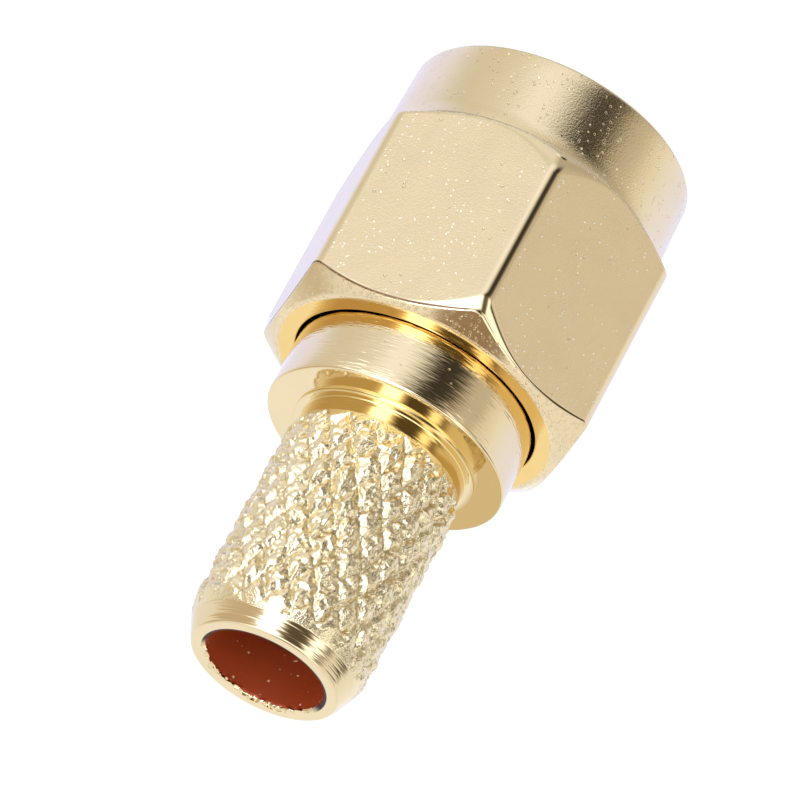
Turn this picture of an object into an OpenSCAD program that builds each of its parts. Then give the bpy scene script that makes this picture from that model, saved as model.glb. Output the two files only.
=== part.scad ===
// Coaxial crimp plug with a captive hexagonal coupling nut, a diamond-knurled crimp stem, a split
// retaining ring, a silicone gasket, a fluoropolymer insulator and a solder centre contact.
// Millimetres. The origin is the centre of the nut's front face, where the plug stands.
// +Z is the axis of the plug and points to its cable end. Two of the nut's flats face +X and -X.

/* [Coupling nut] */
// Width of the nut across its flats
nut_af = 8; // [7.8:0.05:9]
// Length of the nut from its front face to its rear face
nut_length = 8.31; // [8:0.01:10]
// Length of the round collar in front of the hexagon, measured at the middle of a flat
collar_length = 2.37; // [1:0.05:3.5]
// How far the collar's front end lies inside the flats
collar_inset_front = 0.15; // [0.05:0.01:0.3]
// How far the collar's rear end lies inside the flats
collar_inset_rear = 0.08; // [0.02:0.01:0.2]
// Edge break on the collar's front rim
collar_edge = 0.1; // [0.04:0.01:0.2]
// Slope of the chamfer between the collar and the hexagon, from the plane across the axis
front_chamfer_deg = 40; // [25:1:50]
// Slope of the turned chamfer at the nut's rear, from the plane across the axis
rear_chamfer_deg = 37; // [20:1:45]
// Width of the flat ring round the nut's rear hole
rear_face_width = 0.5; // [0.1:0.02:0.6]
// How much is broken off the hexagon's sharp corners
corner_break = 0.06; // [0.02:0.01:0.12]

/* [Coupling thread] */
// Crest radius of the nut's internal thread
thread_minor_r = 2.84; // [2.82:0.005:2.9]
// Depth of the conical lead-in at the mouth of the thread
thread_lead_in = 0.4; // [0.1:0.05:0.6]

/* [Connector body] */
// Radius of the plain shank that the nut turns on
shank_r = 3.25; // [3.15:0.01:3.3]
// Radial clearance between the shank and the nut
running_clearance = 0.09; // [0.05:0.01:0.12]
// Length of the shank that shows behind the nut
shank_exposed = 1.78; // [1:0.02:2.5]
// Edge break on the rear rim of the shank
shank_edge = 0.08; // [0.03:0.01:0.2]
// Depth of the mating plane behind the nut's front face
mating_depth = 3.3; // [3:0.05:3.5]
// Radius of the outer contact's spigot
spigot_r = 2.29; // [2.2:0.005:2.295]
// Length of the outer contact's spigot
spigot_length = 2.1; // [1.9:0.05:2.3]
// How far the gasket's seat stands out of the spigot
gasket_seat_step = 0.2; // [0.16:0.01:0.3]

/* [Crimp stem] */
// Radius of the bore for the cable's dielectric
cable_bore_r = 1.6; // [1.4:0.05:1.7]
// Countersink at the mouth of the cable bore
bore_edge = 0.07; // [0.03:0.01:0.12]
// Radius of the small foot ring at the root of the stem
foot_r = 2.47; // [2.44:0.01:2.7]
// Thickness of the foot ring
foot_t = 0.09; // [0.05:0.01:0.2]
// Radius of the plain neck between the foot ring and the knurl
neck_r = 2.25; // [2.23:0.01:2.3]
// Length from the rear of the shank to the start of the knurl
neck_length = 0.54; // [0.3:0.02:1]
// Length of the knurl
knurl_length = 6; // [3:0.25:9]
// Radius of the knurl over its points
knurl_tip_r = 2.42; // [2.35:0.01:2.43]
// Depth of the knurl's grooves
knurl_depth = 0.2; // [0.1:0.01:0.22]
// Number of grooves in each direction round the stem
knurl_starts = 24; // [16:1:30]
// Angle of the grooves to the axis
knurl_angle = 40; // [30:1:50]
// Radius of the stem's rear end
tip_r = 2.02; // [1.95:0.01:2.1]
// Length of the conical lead-in at the stem's rear end
tip_length = 0.5; // [0.3:0.05:1]

/* [Retaining ring] */
// Distance from the shank's front face to the ring
ring_setback = 0.9; // [0.6:0.05:1.1]
// Thickness of the ring along the axis
ring_t = 0.5; // [0.3:0.05:0.6]
// Depth of the ring's groove in the shank
shank_groove_depth = 0.45; // [0.3:0.01:0.5]
// Depth of the ring's groove in the nut
nut_groove_depth = 0.26; // [0.15:0.01:0.3]
// Clearance round the ring in its two grooves
ring_clearance = 0.05; // [0.03:0.01:0.08]
// Opening of the split ring
ring_gap_deg = 28; // [10:2:60]

/* [Gasket] */
// Thickness of the gasket
gasket_t = 0.55; // [0.4:0.05:0.7]
// How far the gasket's rim lies inside the shank
gasket_inset = 0.15; // [0.1:0.01:0.3]
// Radial clearance between the gasket and its seat
gasket_clearance = 0.02; // [0.01:0.01:0.05]
// Free space between the gasket and the nut's inner shoulder
gasket_space = 0.25; // [0.1:0.05:0.4]

/* [Insulator] */
// Radius of the bore that holds the insulator
insulator_bore_r = 2.05; // [1.9:0.01:2.1]
// Depth of the insulator's seat behind the mating plane
insulator_depth = 4.7; // [4.2:0.1:5.2]
// Thickness of the web between the insulator's seat and the cable bore
web_t = 1.2; // [0.8:0.05:1.5]
// Radius of the hole through the web
web_hole_r = 1.2; // [1.1:0.05:1.3]
// Clearance of the insulator in its bore and of the contact in the insulator
press_clearance = 0.01; // [0.005:0.005:0.02]
// How far the insulator's front lies behind the mating plane
insulator_recess = 0.05; // [0.02:0.01:0.1]

/* [Centre contact] */
// Radius of the mating pin
pin_r = 0.455; // [0.45:0.005:0.465]
// Length of the pin that stands out of the mating plane
pin_reach = 2.4; // [2:0.05:2.5]
// Length of the pin's tapered point
pin_point = 0.35; // [0.2:0.05:0.5]
// Radius of the contact's barrel
barrel_r = 0.8; // [0.75:0.01:0.9]
// Radius of the pin's root inside the insulator's front
root_r = 0.64; // [0.61:0.01:0.7]
// Length of the pin's root
root_length = 0.7; // [0.4:0.05:1]
// Radius of the collar that stops the contact behind the insulator
stop_r = 1; // [0.95:0.05:1.05]
// Thickness of the stop collar
stop_t = 0.3; // [0.2:0.05:0.5]
// How far the barrel ends short of the cable bore's floor
barrel_recess = 0.1; // [0.05:0.05:0.3]
// Radius of the solder cup in the barrel's rear
cup_r = 0.52; // [0.4:0.01:0.6]
// Depth of the solder cup
cup_depth = 2.2; // [1.5:0.1:3]
// Radius of the solder inspection hole
solder_hole_r = 0.2; // [0.1:0.02:0.3]

/* [Hidden] */

$fn = 96;
eps = 0.02; // overlap that makes cuts and joints clean
gold = [0.88, 0.79, 0.55];

// Places along the axis
rear_z = nut_length;
shank_rear_z = rear_z + shank_exposed;
knurl_z = shank_rear_z + neck_length;
knurl_end_z = knurl_z + knurl_length;
stem_end_z = knurl_end_z + tip_length;
shank_front_z = mating_depth + spigot_length;
nut_shoulder_z = shank_front_z - gasket_t - gasket_space;
groove_z = shank_front_z + ring_setback;
seat_z = mating_depth + insulator_depth;
cable_stop_z = seat_z + web_t;
barrel_end_z = cable_stop_z - barrel_recess;
root_end_z = mating_depth + root_length;

// Radius of the seat that the gasket sits on
gasket_seat_r = spigot_r + gasket_seat_step;

// Radii of the nut
flat_r = nut_af / 2;
corner_r = flat_r / cos(30) - corner_break;
nut_bore_r = shank_r + running_clearance;
nut_groove_r = nut_bore_r + nut_groove_depth;
rear_face_r = nut_bore_r + rear_face_width;
blank_r = flat_r / cos(30) + 1;

// Revolves a profile of [radius, height] points about the axis
module turned(profile) {
    rotate_extrude() polygon(profile);
}

// Outline of the nut's turned outside: front rim, collar, front chamfer and rear chamfer
function nut_outline() = let(
    front_rise = tan(front_chamfer_deg),
    rear_rise = tan(rear_chamfer_deg),
    collar_front_r = flat_r - collar_inset_front,
    collar_rear_r = flat_r - collar_inset_rear
) [
    [0, 0],
    [collar_front_r - collar_edge, 0],
    [collar_front_r, collar_edge],
    [collar_rear_r, collar_length - collar_inset_rear * front_rise],
    [blank_r, collar_length + (blank_r - flat_r) * front_rise],
    [blank_r, rear_z - (blank_r - rear_face_r) * rear_rise],
    [rear_face_r, rear_z],
    [0, rear_z]
];

// Outline of the nut's inside: lead-in, thread crests, shoulder, rear bore and ring groove
function nut_hollow() = [
    [0, -eps],
    [thread_minor_r + thread_lead_in + eps, -eps],
    [thread_minor_r, thread_lead_in],
    [thread_minor_r, nut_shoulder_z],
    [nut_bore_r, nut_shoulder_z],
    [nut_bore_r, groove_z - ring_clearance],
    [nut_groove_r, groove_z - ring_clearance],
    [nut_groove_r, groove_z + ring_t + ring_clearance],
    [nut_bore_r, groove_z + ring_t + ring_clearance],
    [nut_bore_r, rear_z + eps],
    [0, rear_z + eps]
];

// Hexagonal blank with two of its flats facing +X and -X
module hex_blank() {
    rotate(30) cylinder(r = flat_r / cos(30), h = nut_length, $fn = 6);
}

// Captive nut: a hexagon with broken corners, cut by the turned outline and hollowed
module coupling_nut() {
    color(gold) difference() {
        intersection() {
            hex_blank();
            turned(nut_outline());
            cylinder(r = corner_r, h = nut_length);
        }
        turned(nut_hollow());
    }
}

// Outline of the body in front of the knurl: spigot, grooved shank, foot ring and neck
function shank_outline() = [
    [0, mating_depth],
    [spigot_r, mating_depth],
    [spigot_r, shank_front_z - gasket_t],
    [gasket_seat_r, shank_front_z - gasket_t],
    [gasket_seat_r, shank_front_z],
    [shank_r, shank_front_z],
    [shank_r, groove_z],
    [shank_r - shank_groove_depth, groove_z],
    [shank_r - shank_groove_depth, groove_z + ring_t + ring_clearance],
    [shank_r, groove_z + ring_t + ring_clearance],
    [shank_r, shank_rear_z - shank_edge],
    [shank_r - shank_edge, shank_rear_z],
    [foot_r, shank_rear_z],
    [foot_r, shank_rear_z + foot_t],
    [neck_r, shank_rear_z + foot_t],
    [neck_r, knurl_z],
    [0, knurl_z]
];

// Radius of the grooves' floor, and of the turned cone where the knurl runs out
knurl_root_r = knurl_tip_r - knurl_depth;

// Outline of the conical lead-in behind the knurl
function lead_in_outline() = [
    [0, knurl_end_z],
    [knurl_root_r, knurl_end_z],
    [tip_r, stem_end_z],
    [0, stem_end_z]
];

// Outline of the body's inside: insulator bore, web hole, cable bore and its countersink
function body_hollow() = [
    [0, mating_depth - eps],
    [insulator_bore_r, mating_depth - eps],
    [insulator_bore_r, seat_z],
    [web_hole_r, seat_z],
    [web_hole_r, cable_stop_z],
    [cable_bore_r, cable_stop_z],
    [cable_bore_r, stem_end_z - bore_edge],
    [cable_bore_r + bore_edge + eps, stem_end_z + eps],
    [0, stem_end_z + eps]
];

// Diamond knurl: grooves of both hands cross at root points, and each diamond between four
// crossings rises to one point. Rings of crossings are half a diamond apart along the axis.
knurl_pitch_deg = 360 / knurl_starts;
half_diamond = PI * knurl_tip_r / knurl_starts / tan(knurl_angle);
knurl_rings = 2 * max(1, round(knurl_length / half_diamond / 2));
ring_step = knurl_length / knurl_rings;
knurl_sink = 0.05; // how deep the knurl's plain ends are sunk into the neck and the lead-in
lead_in_slope = (knurl_root_r - tip_r) / tip_length;
run_out_height = 0.03; // height of the last diamonds over the lead-in

function on_stem(r, turn, z) = [r * cos(turn * knurl_pitch_deg), r * sin(turn * knurl_pitch_deg), z];
function ring_phase(j) = (j % 2) / 2;

// Radius of the points on ring j: half height on the first ring, and the lead-in cuts the last ones
function point_r(j) = j == 0 ? knurl_tip_r - knurl_depth / 2 :
    min(knurl_tip_r, knurl_root_r + run_out_height + (knurl_rings - j) * ring_step * lead_in_slope);

// Numbers of the crossing k and of the diamond point k on ring j, and of the end points i
function crossing(j, k) = j * knurl_starts + k % knurl_starts;
function peak(j, k) = (knurl_rings + 1 + j) * knurl_starts + k % knurl_starts;
function end_point(e, i) = (2 * knurl_rings + 2 + 2 * e) * knurl_starts + i % (2 * knurl_starts);
function rim_point(j, i) = i % 2 == 0 ? crossing(j, i / 2) : peak(j, (i - 1) / 2);

module knurl() {
    last = knurl_starts - 1;
    rim_last = 2 * knurl_starts - 1;
    sunk_r = knurl_root_r - knurl_sink;
    crossings = [for (j = [0 : knurl_rings], k = [0 : last])
        on_stem(knurl_root_r, k + ring_phase(j), knurl_z + j * ring_step)];
    peaks = [for (j = [0 : knurl_rings], k = [0 : last])
        on_stem(point_r(j), k + 0.5 + ring_phase(j), knurl_z + j * ring_step)];
    ends = [for (z = [knurl_z - knurl_sink, knurl_end_z + knurl_sink], i = [0 : rim_last])
        on_stem(sunk_r, i / 2, z)];
    upper = [for (j = [0 : knurl_rings - 1], k = [0 : last])
        let(top = crossing(j + 1, k + j % 2))
        each [[peak(j, k), top, crossing(j, k + 1)], [peak(j, k), crossing(j, k), top]]];
    lower = [for (j = [1 : knurl_rings], k = [0 : last])
        let(foot = crossing(j - 1, k + j % 2))
        each [[peak(j, k), crossing(j, k + 1), foot], [peak(j, k), foot, crossing(j, k)]]];
    front_rim = [for (i = [0 : rim_last])
        let(a = rim_point(0, i), b = rim_point(0, i + 1))
        each [[a, b, end_point(0, i + 1)], [a, end_point(0, i + 1), end_point(0, i)]]];
    rear_rim = [for (i = [0 : rim_last])
        let(a = rim_point(knurl_rings, i), b = rim_point(knurl_rings, i + 1))
        each [[end_point(1, i), end_point(1, i + 1), b], [end_point(1, i), b, a]]];
    caps = [[for (i = [0 : rim_last]) end_point(0, i)], [for (i = [rim_last : -1 : 0]) end_point(1, i)]];
    polyhedron(concat(crossings, peaks, ends), concat(upper, lower, front_rim, rear_rim, caps));
}

// One turned piece: spigot, shank, knurled stem and the stepped bore right through them
module connector_body() {
    color(gold) difference() {
        union() {
            turned(shank_outline());
            knurl();
            turned(lead_in_outline());
        }
        turned(body_hollow());
    }
}

// Split ring that sits in both grooves and holds the nut on the shank
module retaining_ring() {
    inner_r = shank_r - shank_groove_depth + ring_clearance;
    outer_r = nut_groove_r - ring_clearance;
    color([0.72, 0.52, 0.3]) rotate(ring_gap_deg / 2) rotate_extrude(angle = 360 - ring_gap_deg)
        translate([inner_r, groove_z]) square([outer_r - inner_r, ring_t]);
}

// Soft gasket on its seat at the spigot's root, against the shank's front face
module gasket() {
    inner_r = gasket_seat_r + gasket_clearance;
    outer_r = shank_r - gasket_inset;
    color([0.78, 0.27, 0.16]) rotate_extrude()
        translate([inner_r, shank_front_z - gasket_t]) square([outer_r - inner_r, gasket_t]);
}

// Insulator: a stepped sleeve that holds the pin's root in front and the barrel behind
module insulator() {
    color([0.95, 0.95, 0.92]) turned([
        [root_r + press_clearance, mating_depth + insulator_recess],
        [insulator_bore_r - press_clearance, mating_depth + insulator_recess],
        [insulator_bore_r - press_clearance, seat_z],
        [barrel_r + press_clearance, seat_z],
        [barrel_r + press_clearance, root_end_z],
        [root_r + press_clearance, root_end_z]
    ]);
}

// Centre contact: pointed pin, barrel, stop collar and a solder cup with its inspection hole
module centre_contact() {
    tip_z = mating_depth - pin_reach;
    color(gold) difference() {
        turned([
            [0, tip_z],
            [pin_r / 2, tip_z],
            [pin_r, tip_z + pin_point],
            [pin_r, mating_depth],
            [root_r, mating_depth],
            [root_r, root_end_z],
            [barrel_r, root_end_z],
            [barrel_r, seat_z],
            [stop_r, seat_z],
            [stop_r, seat_z + stop_t],
            [barrel_r, seat_z + stop_t],
            [barrel_r, barrel_end_z],
            [0, barrel_end_z]
        ]);
        translate([0, 0, barrel_end_z - cup_depth]) cylinder(r = cup_r, h = cup_depth + eps);
        translate([0, 0, (seat_z + stop_t + barrel_end_z) / 2])
            rotate([90, 0, 0]) cylinder(r = solder_hole_r, h = barrel_r + eps, $fn = 24);
    }
}

coupling_nut();
connector_body();
retaining_ring();
gasket();
insulator();
centre_contact();
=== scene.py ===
"""Looks of a gold-plated coaxial crimp plug: turned, milled, threaded and knurled metal pieces,
its gasket and its insulator, on a plain pale floor in a soft light tent."""

import math

import bpy
import numpy as np
from mathutils import Matrix, Vector


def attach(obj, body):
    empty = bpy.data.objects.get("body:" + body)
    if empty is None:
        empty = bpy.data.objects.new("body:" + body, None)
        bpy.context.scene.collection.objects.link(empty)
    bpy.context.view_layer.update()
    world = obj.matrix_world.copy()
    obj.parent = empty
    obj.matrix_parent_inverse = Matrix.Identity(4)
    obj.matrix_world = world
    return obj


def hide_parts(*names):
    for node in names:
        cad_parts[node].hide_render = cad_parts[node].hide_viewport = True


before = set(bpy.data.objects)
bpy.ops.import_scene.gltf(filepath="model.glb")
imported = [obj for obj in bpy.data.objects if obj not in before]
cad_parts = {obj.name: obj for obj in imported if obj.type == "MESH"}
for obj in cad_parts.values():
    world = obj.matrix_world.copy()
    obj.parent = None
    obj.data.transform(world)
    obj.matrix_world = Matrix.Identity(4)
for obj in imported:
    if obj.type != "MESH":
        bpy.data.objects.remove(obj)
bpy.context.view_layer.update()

MM = 0.001


# ---------------------------------------------------------------- sizes, in millimetres

NUT_REAR = 8.31
SHANK_REAR = 10.09
KNURL_FRONT = 10.63
KNURL_REAR = 16.63
STEM_END = 17.13

FLAT_R = 4.0
CORNER_R = 4.558
BLANK_R = 4.75  # of the round blank that the hexagon is milled from
COLLAR_FRONT_R, COLLAR_REAR_R = 3.85, 3.92
FRONT_CHAMFER_Z, FRONT_SLOPE = 2.303, math.tan(math.radians(40))
REAR_CHAMFER = math.radians(37)
REAR_SLOPE = math.tan(REAR_CHAMFER)
LIP_R, LIP_BEAD = 3.84, 0.3
NUT_BORE_R, NUT_LIP_BORE_R = 3.34, 3.31
NUT_GROOVE_R = 3.6
NUT_SHOULDER = 4.6
THREAD_R, CREST_R, THREAD_PITCH = 3.19, 2.84, 0.7056
THREAD_START, THREAD_TURNS = 0.62, 5

SPIGOT_R, SPIGOT_FRONT = 2.29, 3.3
GASKET_SEAT_R, GASKET_FRONT = 2.49, 4.85
SHANK_R, SHANK_FRONT = 3.25, 5.4
SHANK_GROOVE_R = 2.8
GROOVE_FRONT, GROOVE_REAR = 6.3, 6.85
FOOT_R = 2.47
INSULATOR_BORE_R, WEB_HOLE_R = 2.05, 1.2
SEAT_Z, WEB_END = 8.0, 9.2
CABLE_BORE_R = 1.6
TIP_R, ROOT_R, POINT_R, NECK_R = 2.02, 2.22, 2.42, 2.25

PIN_TIP, PIN_R = 0.9, 0.455
BARREL_FRONT, BARREL_R, BARREL_END = 4.0, 0.8, 9.1
CONTACT_STEP_R, CONTACT_COLLAR_R = 0.64, 1.0
CUP_R, CUP_END = 0.52, 6.9

KNURL_STARTS = 20
KNURL_PITCH = 1.27

TURN_STEPS = 480
MERGE = 1e-8  # metres between points that are one point


# ---------------------------------------------------------------- workshop

def deselect():
    if bpy.context.mode != "OBJECT":
        bpy.ops.object.mode_set(mode="OBJECT")
    bpy.ops.object.select_all(action="DESELECT")


def pick(obj):
    deselect()
    obj.select_set(True)
    bpy.context.view_layer.objects.active = obj


def points_of(obj):
    co = np.zeros(len(obj.data.vertices) * 3)
    obj.data.vertices.foreach_get("co", co)
    return co.reshape(-1, 3)


def radius_of(co):
    return np.hypot(co[:, 0], co[:, 1])


def place_points(obj, co):
    obj.data.vertices.foreach_set("co", np.asarray(co, np.float32).ravel())
    obj.data.update()


def arc(centre, radius, start, end, steps=6):
    """Points of an arc in an outline, by angle in degrees from the radial direction."""
    angles = np.radians(np.linspace(start, end, steps))
    return [(centre[0] + radius * math.cos(a), centre[1] + radius * math.sin(a)) for a in angles]


def line(start, end, steps):
    """Points along a straight part of an outline, without its last point."""
    return [
        (start[0] + (end[0] - start[0]) * i / steps, start[1] + (end[1] - start[1]) * i / steps)
        for i in range(steps)
    ]


def turned(name, outline, steps=TURN_STEPS, sweep=360.0, start=0.0):
    """Turns a closed outline of (radius, height) points about the axis, as on a lathe."""
    deselect()
    bpy.ops.mesh.primitive_circle_add(vertices=len(outline), radius=MM)
    obj = bpy.context.object
    obj.name = name
    a = math.radians(start)
    place_points(obj, [(r * MM * math.cos(a), r * MM * math.sin(a), z * MM) for r, z in outline])
    bpy.ops.object.mode_set(mode="EDIT")
    bpy.ops.mesh.select_all(action="SELECT")
    if sweep < 360:
        bpy.ops.mesh.edge_face_add()
    bpy.ops.mesh.spin(
        steps=steps, angle=math.radians(sweep), center=(0, 0, 0), axis=(0, 0, 1),
        use_auto_merge=sweep >= 360,
    )
    bpy.ops.mesh.select_all(action="SELECT")
    bpy.ops.mesh.remove_doubles(threshold=MERGE)
    bpy.ops.mesh.normals_make_consistent(inside=False)
    bpy.ops.object.mode_set(mode="OBJECT")
    return obj


def smooth(obj, angle=35):
    pick(obj)
    bpy.ops.object.shade_smooth_by_angle(angle=math.radians(angle), keep_sharp_edges=False)


def paint(obj, finishes, choose=None):
    """Gives obj its finishes. choose takes the centres of its faces in millimetres, and their
    normals, and returns the number of each face's finish."""
    obj.data.materials.clear()
    for finish in finishes:
        obj.data.materials.append(finish)
    if choose:
        count = len(obj.data.polygons)
        centres, normals = np.zeros(count * 3), np.zeros(count * 3)
        obj.data.polygons.foreach_get("center", centres)
        obj.data.polygons.foreach_get("normal", normals)
        picked = choose(centres.reshape(-1, 3) / MM, normals.reshape(-1, 3))
        obj.data.polygons.foreach_set("material_index", picked.astype(np.int32))
        obj.data.update()


def outwards(centre, normal):
    """How far a face looks away from the axis, from -1 for a bore to 1 for a shaft."""
    return (normal[:, 0] * centre[:, 0] + normal[:, 1] * centre[:, 1]) / radius_of(centre)


def off_flat(angle):
    """Angle to the middle of the nearest of the hexagon's flats."""
    return np.abs((angle + math.pi / 6) % (math.pi / 3) - math.pi / 6)


def lumps(points, size, seed):
    """Smooth random values from -1 to 1 over points, with lumps of the given size."""
    table = np.random.default_rng(seed).uniform(-1, 1, (32, 32, 32))
    p = points / size + 1000
    cell = np.floor(p).astype(int)
    f = p - cell
    f = f * f * (3 - 2 * f)
    total = 0
    for corner in np.ndindex(2, 2, 2):
        i = (cell + corner) % 32
        share = np.prod(np.where(corner, f, 1 - f), axis=1)
        total = total + table[i[:, 0], i[:, 1], i[:, 2]] * share
    return total


def soft_min(a, b, blend):
    """The smaller of a and b, rounded where they cross."""
    h = np.clip(0.5 + 0.5 * (b - a) / blend, 0, 1)
    return b + (a - b) * h - blend * h * (1 - h)


# ---------------------------------------------------------------- shaders

class Wire:
    """An output that takes part in sums: each sum adds its Math node."""

    def __init__(self, finish, socket):
        self.finish, self.socket = finish, socket

    def sum(self, operation, a, b):
        return self.finish.node("ShaderNodeMath", {"operation": operation}, [a, b])

    def __add__(self, other):
        return self.sum("ADD", self, other)

    def __sub__(self, other):
        return self.sum("SUBTRACT", self, other)

    def __rsub__(self, other):
        return self.sum("SUBTRACT", other, self)

    def __mul__(self, other):
        return self.sum("MULTIPLY", self, other)

    __radd__, __rmul__ = __add__, __mul__


class Finish:
    """The nodes of one material or of the world."""

    def __init__(self, tree):
        self.tree = tree
        tree.nodes.clear()

    def node(self, kind, settings=None, values=(), output=0):
        """A node of a kind, with its settings, and the values or links of its inputs."""
        made = self.tree.nodes.new(kind)
        for key, value in (settings or {}).items():
            if key == "stops":
                ramp = made.color_ramp
                while len(ramp.elements) < len(value):
                    ramp.elements.new(0.5)
                for element, (place, colour) in zip(ramp.elements, value):
                    element.position = place
                    element.color = colour
            else:
                setattr(made, key, value)
        pairs = values.items() if isinstance(values, dict) else enumerate(values)
        for key, value in pairs:
            if isinstance(value, Wire):
                self.tree.links.new(value.socket, made.inputs[key])
            else:
                made.inputs[key].default_value = value
        return Wire(self, made.outputs[output]) if len(made.outputs) else None

    def step(self, value, low, high):
        """A smooth rise from 0 at low to 1 at high."""
        return self.node(
            "ShaderNodeMapRange", {"interpolation_type": "SMOOTHSTEP"},
            {0: value, 1: low, 2: high, 3: 0.0, 4: 1.0},
        )

    def blend(self, factor, a, b):
        return self.node(
            "ShaderNodeMix", {"data_type": "RGBA"}, {0: factor, 6: a, 7: b}, output=2
        )

    def place(self):
        """The place on the object."""
        return self.node("ShaderNodeTexCoord", output=3)

    def parts(self, vector):
        """The x, y and z of a vector."""
        split = self.node("ShaderNodeSeparateXYZ", None, [vector])
        return [Wire(self, socket) for socket in split.socket.node.outputs]

    def from_axis(self):
        """The x, y and z of the place, and its distance from the axis."""
        x, y, z = self.parts(self.place())
        flat = self.node("ShaderNodeCombineXYZ", None, [x, y, 0.0])
        radius = self.node("ShaderNodeVectorMath", {"operation": "LENGTH"}, [flat], output=1)
        return x, y, z, radius

    def noise(self, vector, scale, detail=2.0, roughness=0.5):
        return self.node(
            "ShaderNodeTexNoise", None,
            {"Vector": vector, "Scale": scale, "Detail": detail, "Roughness": roughness},
        )

    def bump(self, height, depth, after=None):
        values = {"Height": height, "Distance": depth, "Strength": 1.0}
        if after is not None:
            values["Normal"] = after
        return self.node("ShaderNodeBump", None, values)


def grey(value):
    return (value, value, value, 1)


def tint(colour, factor):
    """A colour made darker or lighter by a factor."""
    return [min(1, part * factor) for part in colour[:3]] + [1]


def new_finish(name):
    made = bpy.data.materials.new(name)
    made.use_nodes = True
    return made, Finish(made.node_tree)


def close(f, **sockets):
    """Adds the surface shader and its output."""
    names = {key.replace("_", " "): value for key, value in sockets.items()}
    shader = f.node("ShaderNodeBsdfPrincipled", None, names)
    f.node("ShaderNodeOutputMaterial", None, {"Surface": shader})


def turning_height(f, pitch, length, lean=0.0):
    """Heights of tool marks round the axis. On a face or a cone, lean is how much a step outwards
    counts against a step along the axis."""
    x, y, z, radius = f.from_axis()
    along = z + radius * lean
    marks = f.node(
        "ShaderNodeCombineXYZ", None,
        [x * (1 / (length * MM)), y * (1 / (length * MM)), along * (1 / (pitch * MM))],
    )
    return f.noise(marks, 1.0, detail=1.0, roughness=0.55)


def dots(f, cell, size, share, cluster=None):
    """Round dots of a size in a share of the cells of a random pattern, gathered in clusters."""
    cells = {"Vector": f.place(), "Scale": 1 / (cell * MM)}
    near = f.node("ShaderNodeTexVoronoi", None, cells)
    lot = f.node("ShaderNodeTexVoronoi", None, cells, output=1)
    across = size / cell
    spots = 1 - f.step(near, 0.36 * across, 0.5 * across)
    spots = spots * f.step(lot, 0.999 - share, 1.0 - share)
    if cluster:
        spots = spots * f.step(f.noise(f.place(), 1 / (cluster * MM), detail=2.0), 0.44, 0.6)
    return spots


GOLD = (0.83, 0.67, 0.385, 1)
# colour of the specks' painted glints
PAINTED_GLINT = (1.0, 0.91, 0.66, 1)
# painted dark reflection: a dark line beside the nut's rear cone, on one side only
PAINTED_EDGE_REFLECTION = (0.16, 0.10, 0.05, 1)
# painted tan reflection on one side of the shank's rear face
PAINTED_TAN_REFLECTION = (0.60, 0.40, 0.13, 1)
# painted shade: the dark edge of the stem's mouth
PAINTED_MOUTH_SHADE = (0.035, 0.010, 0.004, 1)


def beside_cone(f, width):
    """1 in a line of a given width on one side of the nut, where its flats meet its rear cone: the
    place of a painted dark reflection.
    """
    x, _, z, radius = f.from_axis()
    depth = z + radius * REAR_SLOPE + (width - NUT_REAR - LIP_R * REAR_SLOPE) * MM
    return f.step(depth, 0.0, 0.02 * MM) * f.step(x, 0.05 * MM, 0.3 * MM)


def tan_reflection_side(f):
    """1 on one side of the shank's rear face, where a tan reflection is painted."""
    x, _, _, radius = f.from_axis()
    return f.step(radius - x * 0.6, 3.7 * MM, 4.0 * MM)


def mouth_shade_line(f):
    """1 on the half of the edge of the stem's mouth that has no burrs, where a matt dark line of
    shade is painted.
    """
    _, y, z, radius = f.from_axis()
    at_mouth = (1 - f.step(radius, 1.70 * MM, 1.72 * MM)) * f.step(z, 16.9 * MM, 17.0 * MM)
    return at_mouth * (1 - f.step(y, 0.1 * MM, 0.6 * MM))


def gold_finish(
    name, roughness, colour=GOLD, marks=None, grain=None, specks=None, dents=None,
    uneven=0.05, dark_reflection_width=None, faced=False,
):
    """Plated metal. marks are (depth, pitch, length, lean) of tool marks, and grain is (depth,
    size). specks and dents are (depth, cell, size, share, cluster): specks are hollows with
    painted glints, bright spots of colour; dents are only hollow. dark_reflection_width is the
    width of a painted dark reflection, a line beside the nut's rear cone on one side. A faced
    finish has a painted tan reflection on one side of the shank's rear face, and painted shade,
    a matt dark line, at the edge of the stem's mouth."""
    made, f = new_finish(name)
    place = f.place()
    shade = f.blend(f.noise(place, 900.0, detail=3.0), tint(colour, 0.95), tint(colour, 1.05))
    rough = f.noise(place, 1500.0, detail=2.0) * uneven + (roughness - uneven / 2)
    normal, metal = None, 1.0
    if marks:
        normal = f.bump(turning_height(f, *marks[1:]), marks[0] * MM, normal)
    if grain:
        grains = f.noise(place, 1 / (grain[1] * MM), detail=2.0, roughness=0.6)
        normal = f.bump(grains, grain[0] * MM, normal)
    if dents:
        normal = f.bump(1 - dots(f, *dents[1:]), dents[0] * MM, normal)
    if specks:
        # specks: real hollows in the bump, and painted glints in the colour
        spots = dots(f, *specks[1:])
        normal = f.bump(spots, specks[0] * MM, normal)
        shade = f.blend(spots * 0.85, shade, PAINTED_GLINT)
    # painted dark reflection line beside the rear cone
    if dark_reflection_width:
        shade = f.blend(beside_cone(f, dark_reflection_width), shade, PAINTED_EDGE_REFLECTION)
    if faced:
        # painted tan reflection on one side
        shade = f.blend(tan_reflection_side(f), shade, PAINTED_TAN_REFLECTION)
        # painted shade, matt and dark, at the edge of the mouth
        mouth = mouth_shade_line(f)
        shade = f.blend(mouth, shade, PAINTED_MOUTH_SHADE)
        rough = rough + mouth * 0.55
        metal = 1 - mouth
    sockets = {"Base_Color": shade, "Metallic": metal, "Roughness": rough}
    if normal is not None:
        sockets["Normal"] = normal
    close(f, **sockets)
    return made


# flats: their specks carry painted glints, and a painted dark reflection line runs beside the rear
# cone on one side
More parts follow.
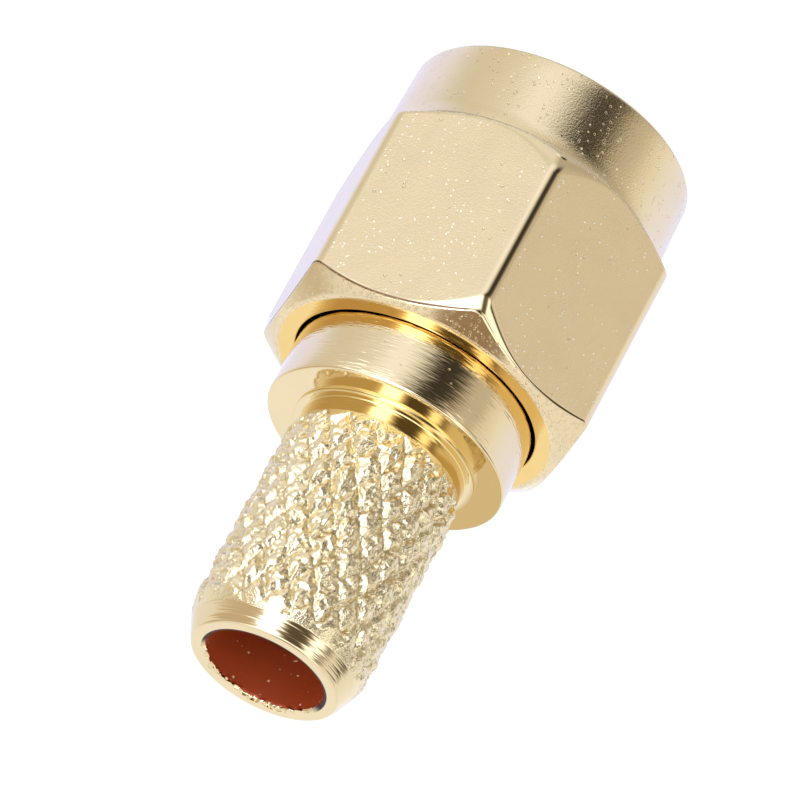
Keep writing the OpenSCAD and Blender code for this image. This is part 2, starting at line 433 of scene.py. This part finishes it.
MILLED = gold_finish(
    "milled_flat_gold", 0.25, grain=(0.004, 0.05), specks=(0.006, 0.12, 0.085, 0.3, 0.7),
    dents=(0.016, 0.17, 0.1, 0.2, 0.9), dark_reflection_width=0.065,
)
# the rolled corners carry the painted dark reflection line too
CORNERS = gold_finish("rolled_corner_gold", 0.08, dark_reflection_width=0.065)
COLLAR = gold_finish(
    "turned_collar_gold", 0.14, grain=(0.006, 0.05), dents=(0.035, 0.10, 0.08, 0.3, 0.9),
)
# pale colour: painted light, lighter than this underside's reflection; its many bright specks are
# painted glints
CHAMFER = gold_finish(
    "front_chamfer_gold_painted_light", 0.4, colour=(1.0, 0.92, 0.75, 1), grain=(0.01, 0.05),
    specks=(0.008, 0.09, 0.08, 0.8),
)
CONE = gold_finish(
    "turned_cone_gold", 0.16, marks=(0.0012, 0.05, 0.2, -1.0), dents=(0.03, 0.11, 0.085, 1.0),
)
NUT_INSIDE = gold_finish("bored_gold", 0.22, marks=(0.004, 0.06, 2.0))
SHANK = gold_finish(
    "turned_shank_gold", 0.07, marks=(0.006, 0.055, 0.5), dents=(0.02, 0.12, 0.07, 0.12, 0.8),
)
# faced surfaces carry a painted tan reflection on one side and painted shade at the mouth's edge
FACED = gold_finish("faced_gold", 0.07, faced=True)
NECK = gold_finish("turned_neck_gold", 0.08, colour=(0.84, 0.65, 0.28, 1), marks=(0.003, 0.05, 0.8))
LEAD_IN = gold_finish("turned_tip_gold", 0.1, marks=(0.009, 0.052, 1.6))
KNURLED = gold_finish("knurled_gold", 0.17, colour=(0.87, 0.73, 0.43, 1), grain=(0.018, 0.06))
LIP = gold_finish("deep_gold_lip", 0.1, colour=(0.88, 0.61, 0.21, 1), marks=(0.002, 0.05, 1.5, 1.0))
POLISHED = gold_finish("polished_pin_gold", 0.12, marks=(0.001, 0.05, 2.0))
BRONZE = gold_finish("spring_bronze", 0.3, colour=(0.62, 0.40, 0.20, 1), marks=(0.006, 0.06, 2.0))


def bore_finish():
    """Dull red-brown inside of the stem, painted as shade and gold-on-gold reflection, with
    more painted shade in the depth and rows of bright specks painted as glints.
    """
    made, f = new_finish("bore_painted_shade_and_reflection")
    place = f.place()
    # red-brown painted for shade and gold reflecting in gold inside the bore
    darker, lighter = (0.385, 0.053, 0.006, 1), (0.47, 0.070, 0.009, 1)
    shade = f.blend(f.noise(place, 2500.0, detail=4.0), darker, lighter)
    z = f.parts(place)[2]
    # rows of bright specks: painted glints
    row_gap = 0.4 * MM
    wave = f.node("ShaderNodeMath", {"operation": "SINE"}, [z * (2 * math.pi / row_gap)])
    rows = f.step(wave, 0.75, 0.9)
    shade = f.blend(dots(f, 0.12, 0.08, 0.3) * rows * 0.75, shade, (0.95, 0.72, 0.42, 1))
    # painted shade: darker deep in the bore
    shade = f.blend(f.step(z, 15.38 * MM, 15.62 * MM), (0.10, 0.010, 0.002, 1), shade)
    normal = f.bump(f.noise(place, 12000.0, detail=3.0), 4e-6)
    close(f, Base_Color=shade, Metallic=0.15, Roughness=0.55, Normal=normal)
    return made


def ptfe_finish():
    """White fluoropolymer with fine turning marks."""
    made, f = new_finish("fluoropolymer_white")
    place = f.place()
    darker, lighter = (0.80, 0.80, 0.77, 1), (0.87, 0.87, 0.85, 1)
    shade = f.blend(f.noise(place, 1800.0, detail=3.0), darker, lighter)
    normal = f.bump(turning_height(f, 0.05, 3.0, 1.0), 0.008 * MM)
    close(f, Base_Color=shade, Roughness=0.42, Normal=normal)
    return made


def silicone_finish():
    """Soft red silicone with a faint grain."""
    made, f = new_finish("silicone_red")
    place = f.place()
    darker, lighter = (0.50, 0.055, 0.02, 1), (0.60, 0.08, 0.03, 1)
    shade = f.blend(f.noise(place, 2600.0, detail=4.0), darker, lighter)
    rough = f.noise(place, 5200.0) * 0.12 + 0.45
    normal = f.bump(f.noise(place, 16000.0, detail=3.0), 8e-6)
    close(f, Base_Color=shade, Roughness=rough, Normal=normal)
    return made


BORE = bore_finish()
PTFE = ptfe_finish()
SILICONE = silicone_finish()


# ---------------------------------------------------------------- coupling nut

def hexagon_radius(angle):
    """Distance from the axis to the flats at an angle, with rounded corners."""
    stretch = 1 / math.cos(math.pi / 6)  # from the flats to a sharp corner
    rounding = (FLAT_R * stretch - CORNER_R) / (stretch - 1)
    off = off_flat(angle)
    centre = (FLAT_R - rounding) * stretch
    flat = FLAT_R / np.cos(off)
    lean = math.pi / 6 - off
    inside = np.clip(rounding**2 - (centre * np.sin(lean)) ** 2, 0, None)
    rounded = centre * np.cos(lean) + np.sqrt(inside)
    touch = math.atan((FLAT_R - rounding) * math.tan(math.pi / 6) / FLAT_R)
    return np.where(off > touch, rounded, flat)


def nut_outline():
    front_top = (BLANK_R, FRONT_CHAMFER_Z + (BLANK_R - COLLAR_REAR_R) * FRONT_SLOPE)
    rear_top = (BLANK_R, NUT_REAR - (BLANK_R - LIP_R) * REAR_SLOPE)
    collar_end = (COLLAR_REAR_R, FRONT_CHAMFER_Z - 0.03)
    chamfer_foot = (COLLAR_REAR_R + 0.02, FRONT_CHAMFER_Z + 0.017)
    outline = [(3.24, 0.0), (3.3, 0.0)]
    outline += line((3.5, 0.0), (COLLAR_FRONT_R - 0.1, 0.0), 2)
    outline += arc((COLLAR_FRONT_R - 0.1, 0.1), 0.1, -90, 0, 7)
    outline += line((COLLAR_FRONT_R + 0.01, 0.4), collar_end, 5)
    outline += line(collar_end, chamfer_foot, 2)
    outline += line(chamfer_foot, front_top, 30)
    outline += line(front_top, (BLANK_R, 3.35), 8)
    outline += line((BLANK_R, 3.35), (BLANK_R, 7.15), 5)
    outline += line((BLANK_R, 7.15), rear_top, 14)
    # the rear cone ends in a bead, then comes the flat lip round the bore
    reach = LIP_BEAD * math.tan(REAR_CHAMFER / 2)
    bead_start = (
        LIP_R + reach * math.cos(REAR_CHAMFER), NUT_REAR - reach * math.sin(REAR_CHAMFER),
    )
    outline += line(rear_top, bead_start, 48)
    outline += arc((LIP_R - reach, NUT_REAR - LIP_BEAD), LIP_BEAD, 53, 90, 9)
    outline += line((LIP_R - reach - 0.03, NUT_REAR), (NUT_LIP_BORE_R + 0.05, NUT_REAR), 5)
    outline += arc((NUT_LIP_BORE_R + 0.05, NUT_REAR - 0.05), 0.05, 90, 180, 5)
    outline += [(NUT_LIP_BORE_R, 8.1), (NUT_BORE_R, 8.0)]
    outline += [(NUT_BORE_R, GROOVE_REAR), (NUT_GROOVE_R, GROOVE_REAR)]
    outline += [(NUT_GROOVE_R, GROOVE_FRONT - 0.05), (NUT_BORE_R, GROOVE_FRONT - 0.05)]
    outline += [(NUT_BORE_R, 5.4), (NUT_BORE_R, NUT_SHOULDER), (THREAD_R, NUT_SHOULDER)]
    outline += [(THREAD_R, z) for z in (3.6, 2.6, 1.6, 0.6)] + [(THREAD_R, 0.05)]
    return outline


def nut_faces(centre, normal):
    """Which finish each face of the nut has."""
    flats, collar, cone, inside, corners, chamfer, lip = range(7)
    r, z = radius_of(centre), centre[:, 2]
    level = np.abs(normal[:, 2])
    off = off_flat(np.arctan2(normal[:, 1], normal[:, 0]))
    rolled = (off > math.radians(1.5)) | (level > 0.02)
    on_hexagon = r > FLAT_R - 0.05
    chosen = np.full(len(r), inside)
    chosen[(outwards(centre, normal) > 0.5) & (z < 2.6)] = collar
    chosen[(normal[:, 2] > 0.3) & (z > 7)] = cone
    chosen[on_hexagon & (z > 2.3) & (level < 0.1)] = flats
    chosen[on_hexagon & (z > 2.6) & (level < 0.4) & rolled] = corners
    chosen[(z < 3.2) & (normal[:, 2] < -0.4) & (r > 3.9)] = chamfer
    chosen[(z > 8.0) & (r < 3.73)] = lip
    return chosen


def make_nut():
    nut = turned("hex_nut", nut_outline())
    co = points_of(nut) / MM
    radius = radius_of(co)
    angle = np.arctan2(co[:, 1], co[:, 0])
    angle = angle + 0.1 * np.sin(6 * angle)  # gathers the columns of points at the corners
    milled = hexagon_radius(angle)
    # the polished ends of each flat roll off, over a length that grows towards every second corner
    towards_corner = (milled - FLAT_R) / (CORNER_R - FLAT_R)
    second_corner = 0.5 + 0.5 * np.sin(3 * angle)
    roll = 0.07 + 0.46 * towards_corner * second_corner
    rear_edge = NUT_REAR - (milled - LIP_R) * REAR_SLOPE
    front_edge = FRONT_CHAMFER_Z + (milled - COLLAR_REAR_R) * FRONT_SLOPE
    past = np.maximum(co[:, 2] - rear_edge, front_edge - co[:, 2]) + roll
    milled = milled - 0.18 * roll * np.clip(past / roll, 0, 1) ** 2
    outside = radius > FLAT_R - 0.1
    wanted = np.where(outside, soft_min(radius, milled, 0.028), radius)
    co[:, 0], co[:, 1] = wanted * np.cos(angle), wanted * np.sin(angle)
    place_points(nut, co * MM)
    paint(nut, [MILLED, COLLAR, CONE, NUT_INSIDE, CORNERS, CHAMFER, LIP], nut_faces)
    smooth(nut)
    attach(nut, "nut")
    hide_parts("coupling_nut")


def make_thread():
    """The nut's internal thread: one trapezoid ridge wound up the axis."""
    deselect()
    bpy.ops.mesh.primitive_plane_add(size=MM)
    ridge = bpy.context.object
    ridge.name = "nut_thread"
    sunk = (THREAD_R + 0.08) * MM  # the ridge's foot stands a little inside the nut's wall
    foot, crest = 0.32 * MM, 0.05 * MM  # half of its width
    place_points(ridge, [
        (sunk, 0, -foot), (CREST_R * MM, 0, -crest), (sunk, 0, foot), (CREST_R * MM, 0, crest),
    ])
    ridge.location.z = THREAD_START * MM
    bpy.ops.object.transform_apply(location=True, rotation=True, scale=True)
    winding = ridge.modifiers.new("winding", "SCREW")
    winding.angle = 2 * math.pi
    winding.screw_offset = THREAD_PITCH * MM
    winding.iterations = THREAD_TURNS
    winding.steps = winding.render_steps = 96
    winding.use_normal_calculate = True
    bpy.ops.object.modifier_apply(modifier="winding")
    bpy.ops.object.mode_set(mode="EDIT")
    bpy.ops.mesh.select_all(action="SELECT")
    bpy.ops.mesh.remove_doubles(threshold=MERGE)
    bpy.ops.mesh.select_all(action="DESELECT")
    bpy.ops.mesh.select_non_manifold()
    bpy.ops.mesh.fill()
    bpy.ops.mesh.select_all(action="SELECT")
    bpy.ops.mesh.normals_make_consistent(inside=False)
    bpy.ops.object.mode_set(mode="OBJECT")
    paint(ridge, [NUT_INSIDE])
    smooth(ridge, 30)
    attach(ridge, "nut")


# ---------------------------------------------------------------- body

def body_outline():
    edge = 0.07
    outline = [(INSULATOR_BORE_R, SPIGOT_FRONT + 0.03), (INSULATOR_BORE_R + 0.03, SPIGOT_FRONT)]
    outline += [(SPIGOT_R - 0.03, SPIGOT_FRONT), (SPIGOT_R, SPIGOT_FRONT + 0.03), (SPIGOT_R, 4.4)]
    outline += [(SPIGOT_R, GASKET_FRONT), (GASKET_SEAT_R, GASKET_FRONT)]
    outline += [(GASKET_SEAT_R, SHANK_FRONT), (SHANK_R - edge, SHANK_FRONT)]
    outline += [(SHANK_R, SHANK_FRONT + edge), (SHANK_R, GROOVE_FRONT)]
    outline += [(SHANK_GROOVE_R, GROOVE_FRONT), (SHANK_GROOVE_R, GROOVE_REAR)]
    outline += [(SHANK_R, GROOVE_REAR)]
    outline += line((SHANK_R, 7.4), (SHANK_R, SHANK_REAR - edge), 6)
    outline += arc((SHANK_R - edge, SHANK_REAR - edge), edge, 0, 90, 7)
    outline += line((3.1, SHANK_REAR), (2.49, SHANK_REAR), 6)
    # the small foot ring and the neck
    outline += [(FOOT_R + 0.005, SHANK_REAR + 0.005), (FOOT_R, SHANK_REAR + 0.015)]
    outline += [(FOOT_R, SHANK_REAR + 0.06)]
    outline += arc((FOOT_R - 0.03, SHANK_REAR + 0.06), 0.03, 20, 90, 3)
    outline += [(2.36, SHANK_REAR + 0.09), (2.27, SHANK_REAR + 0.095)]
    outline += [(NECK_R, SHANK_REAR + 0.12), (NECK_R, 10.4), (NECK_R, KNURL_FRONT)]
    # the core under the knurl, the cone at the tip and the bore
    outline += [(ROOT_R - 0.03, KNURL_FRONT + 0.02), (ROOT_R - 0.03, KNURL_REAR - 0.02)]
    outline += [(ROOT_R, KNURL_REAR)]
    outline += line((2.2, KNURL_REAR + 0.05), (TIP_R + 0.025, STEM_END - 0.1), 6)
    outline += arc((TIP_R - 0.09, STEM_END - 0.09), 0.09, 15, 90, 7)
    outline += line((TIP_R - 0.13, STEM_END), (CABLE_BORE_R + 0.1, STEM_END), 3)
    outline += arc((CABLE_BORE_R + 0.09, STEM_END - 0.09), 0.09, 90, 180, 9)
    outline += [(CABLE_BORE_R, 17.02), (CABLE_BORE_R, 17.0), (CABLE_BORE_R, 16.95)]
    outline += line((CABLE_BORE_R, 16.7), (CABLE_BORE_R, WEB_END), 14)
    outline += [(CABLE_BORE_R, WEB_END), (WEB_HOLE_R, WEB_END), (WEB_HOLE_R, SEAT_Z)]
    outline += [(INSULATOR_BORE_R, SEAT_Z), (INSULATOR_BORE_R, 5.6)]
    return outline


def body_faces(centre, normal):
    """Which finish each face of the body has."""
    shank, faced, lead_in, bore, neck = range(5)
    r, z = radius_of(centre), centre[:, 2]
    turned_side = outwards(centre, normal) > 0.5
    chosen = np.full(len(r), faced)
    chosen[turned_side & (z < SHANK_REAR)] = shank
    chosen[turned_side & (z > SHANK_REAR)] = lead_in
    chosen[turned_side & (z > SHANK_REAR) & (z < KNURL_FRONT + 0.1)] = neck
    chosen[(r < CABLE_BORE_R + 0.03) & (z > WEB_END - 0.1) & (z < 17.06)] = bore
    return chosen


def make_body():
    body = turned("plug_body", body_outline())
    co = points_of(body) / MM
    radius = radius_of(co)
    # the drill left burrs round the far half of the mouth's rim
    rim = np.clip(1 - np.abs(radius - 1.64) / 0.08, 0, 1) * np.clip((co[:, 2] - 17.01) / 0.03, 0, 1)
    rim *= 0.12 + 0.88 * np.clip(co[:, 1] / radius + 0.3, 0, 1)
    burr = lumps(co, 0.22, 4) * 0.13 + lumps(co, 0.1, 5) * 0.09
    co[:, :2] *= (1 + burr * rim / radius)[:, None]
    place_points(body, co * MM)
    paint(body, [SHANK, FACED, LEAD_IN, BORE, NECK], body_faces)
    smooth(body)
    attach(body, "connector")
    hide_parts("connector_body")


def knurl_radius(co):
    """Outside radius of the knurl over points: crossed grooves leave blunt, crumpled diamonds."""
    angle = np.arctan2(co[:, 1], co[:, 0]) / (2 * math.pi)
    z = co[:, 2] - KNURL_FRONT
    around, along = KNURL_STARTS * angle, z / KNURL_PITCH
    u = around + along + lumps(co, 0.9, 11) * 0.12 + lumps(co, 0.2, 17) * 0.06
    v = around - along + lumps(co, 0.8, 12) * 0.12 + lumps(co, 0.2, 18) * 0.06
    ridge = np.minimum(2 * np.abs(u - np.round(u)), 2 * np.abs(v - np.round(v)))
    diamonds = np.random.default_rng(21).uniform(-1, 1, (64, 64))
    own = diamonds[np.floor(u).astype(int) % 64, np.floor(v).astype(int) % 64]
    height = soft_min(0.14 + ridge * 1.15, 0.74 + own * 0.12, 0.25)
    height = height + lumps(co, 0.2, 13) * 0.2 + lumps(co, 0.09, 14) * 0.2
    full = ROOT_R + (POINT_R - ROOT_R) * np.clip(height, 0, 1)
    front = NECK_R + 0.01 + z * 0.38
    rear = TIP_R + (STEM_END - co[:, 2]) * 0.4
    return np.minimum(full, np.minimum(front, rear))


def make_knurl():
    rows = 168
    low, high = KNURL_FRONT - 0.06, KNURL_REAR + 0.06
    outline = [(2.0, high), (2.0, low), (2.15, low)]
    outline += line((POINT_R, KNURL_FRONT - 0.02), (POINT_R, KNURL_REAR + 0.03), rows)
    outline += [(2.15, high)]
    knurl = turned("crimp_knurl", outline)
    co = points_of(knurl) / MM
    radius = radius_of(co)
    outside = radius > 2.3
    wanted = np.where(outside, np.minimum(knurl_radius(co), POINT_R), radius)
    co[:, :2] *= (wanted / radius)[:, None]
    place_points(knurl, co * MM)
    paint(knurl, [KNURLED])
    smooth(knurl, 40)
    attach(knurl, "connector")


# ---------------------------------------------------------------- inner pieces

def rounded_box(inner, outer, low, high, edge, steps=4):
    """Outline of a ring of rectangular section with rounded edges."""
    return (
        arc((inner + edge, low + edge), edge, 180, 270, steps)
        + arc((outer - edge, low + edge), edge, 270, 360, steps)
        + arc((outer - edge, high - edge), edge, 0, 90, steps)
        + arc((inner + edge, high - edge), edge, 90, 180, steps)
    )


def make_gasket():
    section = rounded_box(GASKET_SEAT_R + 0.02, 3.1, GASKET_FRONT, SHANK_FRONT, 0.12, 6)
    ring = turned("gasket_ring", section, steps=192)
    paint(ring, [SILICONE])
    smooth(ring)
    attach(ring, "connector")
    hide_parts("gasket")


def make_retaining_ring():
    inner, outer = SHANK_GROOVE_R + 0.05, NUT_GROOVE_R - 0.05
    section = rounded_box(inner, outer, GROOVE_FRONT, GROOVE_FRONT + 0.5, 0.06)
    ring = turned("split_ring", section, steps=160, sweep=332, start=14)
    paint(ring, [BRONZE])
    smooth(ring)
    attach(ring, "connector")
    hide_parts("retaining_ring")


def make_insulator():
    outline = [(0.65, 3.37), (0.67, 3.35)] + line((0.9, 3.35), (1.98, 3.35), 4)
    outline += arc((1.98, 3.41), 0.06, -90, 0, 4) + [(2.04, 5.6), (2.04, SEAT_Z)]
    outline += [(0.81, SEAT_Z), (0.81, BARREL_FRONT), (0.65, BARREL_FRONT)]
    sleeve = turned("insulator_sleeve", outline, steps=192)
    paint(sleeve, [PTFE])
    smooth(sleeve)
    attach(sleeve, "connector")
    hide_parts("insulator")


def contact_outline():
    tip, collar_end = PIN_TIP, SEAT_Z + 0.3
    outline = [(0.0, tip)] + arc((0.14, tip + 0.1), 0.1, -90, -22, 5)
    outline += [(0.43, tip + 0.3), (0.448, tip + 0.35), (PIN_R, tip + 0.42)]
    outline += [(PIN_R, 2.0), (PIN_R, 3.28), (0.47, 3.3), (0.62, 3.3), (CONTACT_STEP_R, 3.32)]
    outline += [(CONTACT_STEP_R, BARREL_FRONT), (BARREL_R, BARREL_FRONT), (BARREL_R, 6.0)]
    outline += [(BARREL_R, SEAT_Z), (CONTACT_COLLAR_R - 0.02, SEAT_Z)]
    outline += [(CONTACT_COLLAR_R, SEAT_Z + 0.02), (CONTACT_COLLAR_R, collar_end - 0.02)]
    outline += [(CONTACT_COLLAR_R - 0.02, collar_end), (BARREL_R, collar_end)]
    outline += [(BARREL_R, BARREL_END - 0.03), (BARREL_R - 0.03, BARREL_END)]
    outline += [(CUP_R + 0.03, BARREL_END), (CUP_R, BARREL_END - 0.03)]
    outline += [(CUP_R, 8.0), (CUP_R, CUP_END + 0.05), (0.45, CUP_END), (0.0, CUP_END)]
    return outline


def make_contact():
    contact = turned("contact_pin", contact_outline(), steps=96)
    deselect()
    bpy.ops.mesh.primitive_cylinder_add(
        vertices=24, radius=0.2 * MM, depth=0.8 * MM,
        location=(0, -0.75 * MM, 8.7 * MM), rotation=(math.pi / 2, 0, 0),
    )
    drill = bpy.context.object
    pick(contact)
    hole = contact.modifiers.new("inspection_hole", "BOOLEAN")
    hole.operation, hole.object = "DIFFERENCE", drill
    bpy.ops.object.modifier_apply(modifier="inspection_hole")
    bpy.data.objects.remove(drill)
    paint(contact, [POLISHED])
    smooth(contact)
    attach(contact, "connector")
    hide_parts("centre_contact")


make_nut()
make_thread()
make_body()
make_knurl()
make_gasket()
make_retaining_ring()
make_insulator()
make_contact()


# ---------------------------------------------------------------- floor, light and camera

CAMERA_PLACE = Vector((17.683, -188.665, 111.405)) * MM
CAMERA_TARGET = Vector((0.226, 0.231, 8.516)) * MM
CAMERA_ROLL = math.radians(151.47)
CAMERA_LENS = 387.36
CAMERA_AZIMUTH = math.radians(-84.72)


def make_floor():
    deselect()
    bpy.ops.mesh.primitive_plane_add(size=4.0, location=(0, 0, 0))
    floor = bpy.context.object
    floor.name = "floor"
    made, f = new_finish("pale_floor")
    camera, mirror, glass = (f.node("ShaderNodeLightPath", output=i) for i in (0, 3, 6))
    seen = f.node("ShaderNodeMath", {"operation": "MAXIMUM"}, [camera, mirror])
    seen = f.node("ShaderNodeMath", {"operation": "MAXIMUM"}, [seen, glass])
    matt = f.node("ShaderNodeBsdfDiffuse", None, {"Color": f.blend(seen, grey(0.85), grey(0.3))})
    glow = f.node("ShaderNodeEmission", None, {"Color": grey(1.0), "Strength": seen * 0.8})
    pale = f.node("ShaderNodeAddShader", None, [matt, glow])
    f.node("ShaderNodeOutputMaterial", None, {"Surface": pale})
    floor.data.materials.append(made)
    floor.visible_glossy = False


def tent_stops(stops):
    """Ramp stops from (degrees round from the camera, brightness, warmth) of a wall of the tent."""
    made = []
    for angle, bright, warmth in stops:
        warm, cool = max(warmth, 0), max(-warmth, 0)
        red = 1 + 0.12 * warm - 0.02 * cool
        green = 1.03 - 0.02 * warm
        blue = 1.14 - 0.22 * warm + 0.36 * cool
        made.append(((angle + 180) / 360, [bright * part for part in (red, green, blue)] + [1]))
    return made


BOTTOM_TENT = [
    (-180, 0.6, 0.5), (-110, 0.6, 0.5), (-80, 0.52, 0.6), (-14, 0.52, 0.6), (0, 0.7, 0.5),
    (26, 0.9, 0), (60, 1.0, 0), (120, 0.5, 0.5),
]
LOW_TENT = [
    (-180, 0.95, -0.7), (-110, 1.0, -0.7), (-90, 0.98, 0), (-80, 0.9, 0.3), (-70, 0.81, 0.6),
    (-62, 0.61, 0.6), (-46, 0.58, 0.6), (-39, 0.38, 1), (-32, 0.14, 1), (-25, 0.055, 1),
    (-9, 0.045, 1), (-3, 0.22, 0.6), (5, 0.64, 0), (11, 0.9, 0), (19, 1.12, -0.3),
    (30, 1.16, -0.4), (40, 1.06, -0.2), (50, 0.9, 0), (60, 0.86, 0), (70, 0.79, 0.3),
    (90, 0.75, 0.4), (100, 0.8, 0), (118, 0.97, -1.1), (150, 0.97, -1),
]
MIDDLE_TENT = [
    (-180, 1.1, 0), (-92, 1.0, 0), (-82, 0.2, 1), (-76, 0.06, 1), (-60, 0.06, 1), (-55, 1.3, 0),
    (-40, 1.7, 0), (-32, 0.8, 0.5), (-25, 0.2, 1), (-7, 0.1, 1), (-1, 0.5, 0.5), (6, 1.7, 0),
    (18, 2.2, -0.5), (60, 2.2, -0.5), (68, 1.2, 0), (74, 0.7, 1), (90, 0.7, 0.8), (120, 0.95, 0),
]
HIGH_TENT = [
    (-180, 1.05, 0), (-90, 0.92, 0.2), (-71, 0.9, 0.2), (-63, 0.5, 0.6), (-57, 0.25, 1),
    (-51, 1.2, 0), (-46, 2.0, 0), (-39, 1.8, 0), (-33, 0.33, 1), (-27, 0.1, 1.8), (-4, 0.09, 1.8),
    (1, 0.3, 1), (7, 1.3, 0), (12, 3.4, -1.2), (31, 3.4, -1.2), (38, 0.95, 0.5), (46, 0.58, 1.2),
    (110, 0.56, 1.3), (130, 0.75, 0.5), (150, 1.05, 0),
]
UPPER_TENT = [
    (-180, 1.0, 0), (-84, 1.0, 0.2), (-70, 1.6, 0), (-52, 2.2, 0), (-40, 2.0, 0), (-30, 1.6, 0),
    (-15, 1.5, 0), (-5, 1.9, 0), (8, 2.5, -0.3), (50, 2.2, -0.3), (66, 1.5, 0), (80, 1.05, 0),
    (120, 0.9, 0), (150, 1.0, 0),
]
# each wall above the bottom one: where it starts and is full, its stops, and how its edges lean
# by part of a turn for each unit above a height
WALLS = [
    (-0.82, -0.64, LOW_TENT, 0.2, -0.477),
    (-0.38, -0.27, MIDDLE_TENT, -0.15, -0.2),
    (0.08, 0.2, HIGH_TENT, 0.1, 0.34),
    (0.56, 0.72, UPPER_TENT, 0.0, 0.0),
]
TOP_START, TOP_FULL, TOP_LIGHT = 0.86, 0.93, (1.03, 1.06, 1.17, 1)
PATCH_PLACE, PATCH_DARK = (-0.13, -0.19, 0.973), (0.34, 0.24, 0.17, 1)


def make_light():
    world = bpy.data.worlds.new("light_tent")
    bpy.context.scene.world = world
    world.use_nodes = True
    f = Finish(world.node_tree)
    direction = f.node("ShaderNodeTexCoord", output=0)
    x, y, z = f.parts(direction)
    c, s = math.cos(CAMERA_AZIMUTH), math.sin(CAMERA_AZIMUTH)
    ahead, aside = x * c + y * s, y * c - x * s
    turn = f.node("ShaderNodeMath", {"operation": "ARCTAN2"}, [aside, ahead])
    turn = turn * (0.5 / math.pi) + 0.5

    def wall(stops, lean=0.0, height=0.0):
        place = turn - (z - height) * lean
        return f.node("ShaderNodeValToRGB", {"stops": tent_stops(stops)}, [place])

    tent = wall(BOTTOM_TENT)
    for start, full, stops, lean, height in WALLS:
        tent = f.blend(f.step(z, start, full), tent, wall(stops, lean, height))
    tent = f.blend(f.step(z, TOP_START, TOP_FULL), tent, TOP_LIGHT)
    facing = {"operation": "DOT_PRODUCT"}
    patch = f.node("ShaderNodeVectorMath", facing, [direction, PATCH_PLACE], output=1)
    tent = f.blend(f.step(patch, 0.948, 0.965), tent, PATCH_DARK)
    seen = f.node("ShaderNodeLightPath", output=0)
    tent = f.blend(seen, tent, grey(1.0))
    light = f.node("ShaderNodeBackground", None, {"Color": tent, "Strength": 1.0})
    f.node("ShaderNodeOutputWorld", None, {"Surface": light})


def make_camera():
    data = bpy.data.cameras.new("camera")
    camera = bpy.data.objects.new("camera", data)
    bpy.context.scene.collection.objects.link(camera)
    data.sensor_width = 36
    data.lens = CAMERA_LENS
    data.clip_start, data.clip_end = 0.01, 10
    forward = (CAMERA_TARGET - CAMERA_PLACE).normalized()
    level = forward.cross(Vector((0, 0, 1))).normalized()
    upright = level.cross(forward)
    up = upright * math.cos(CAMERA_ROLL) + level * math.sin(CAMERA_ROLL)
    right = forward.cross(up)
    turn = Matrix((right, up, -forward)).transposed()
    camera.matrix_world = Matrix.Translation(CAMERA_PLACE) @ turn.to_4x4()
    bpy.context.scene.camera = camera


make_floor()
make_light()
make_camera()
bpy.context.scene.view_settings.view_transform = "Standard"
